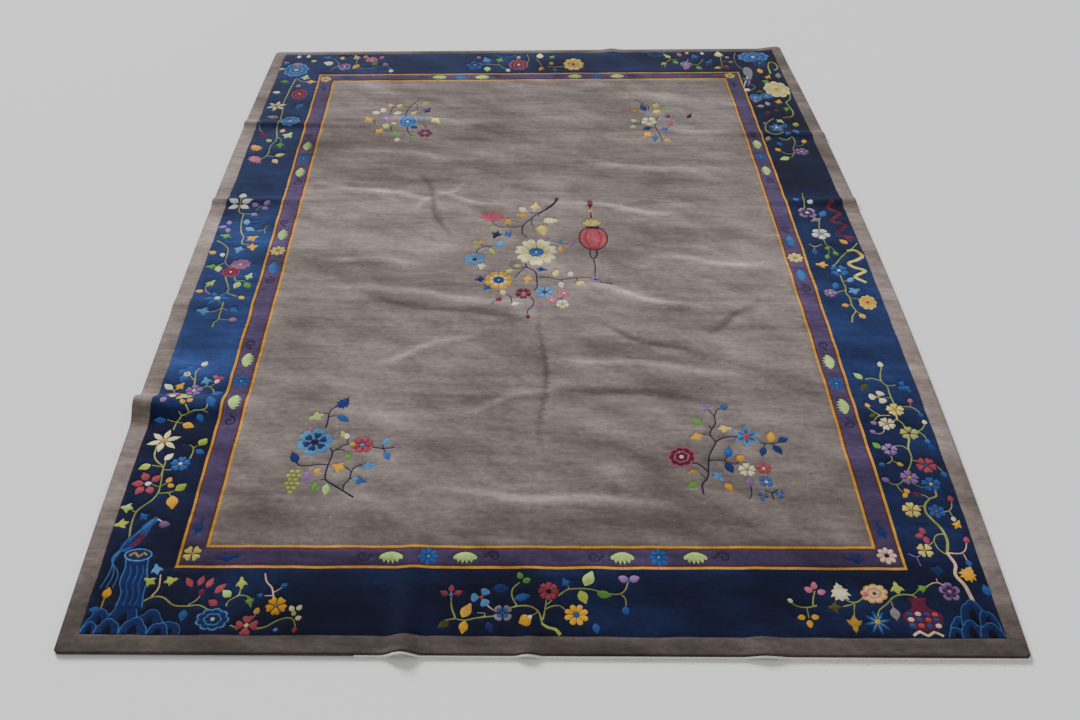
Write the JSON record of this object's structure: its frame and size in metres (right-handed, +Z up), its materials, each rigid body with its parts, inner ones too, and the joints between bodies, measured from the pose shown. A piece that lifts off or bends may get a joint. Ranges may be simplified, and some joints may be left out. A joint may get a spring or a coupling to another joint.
{
  "type": "chinese art deco rug",
  "caption": "Room-size hand-knotted wool carpet lying flat with a few folds: navy floral border, purple inner band and mauve-grey field with sprays, short torn cotton warp ends at one end.",
  "frame": {"origin": "on the floor, under the middle of the carpet's box", "axes": "+Y along the carpet, away from the end with the torn warp ends; +Z up from the floor through the pile; +X across"},
  "size_m": [2.8019, 3.6612, 0.0547],
  "materials": {
    "wool_pile": "dense cut wool pile, figured in navy, purple, mauve-grey and gold",
    "cotton_warp": "torn undyed cotton warp"
  },
  "bodies": {
    "root": {"rug": "wool_pile", "warp_ends": "cotton_warp"}
  },
  "joints": []
}
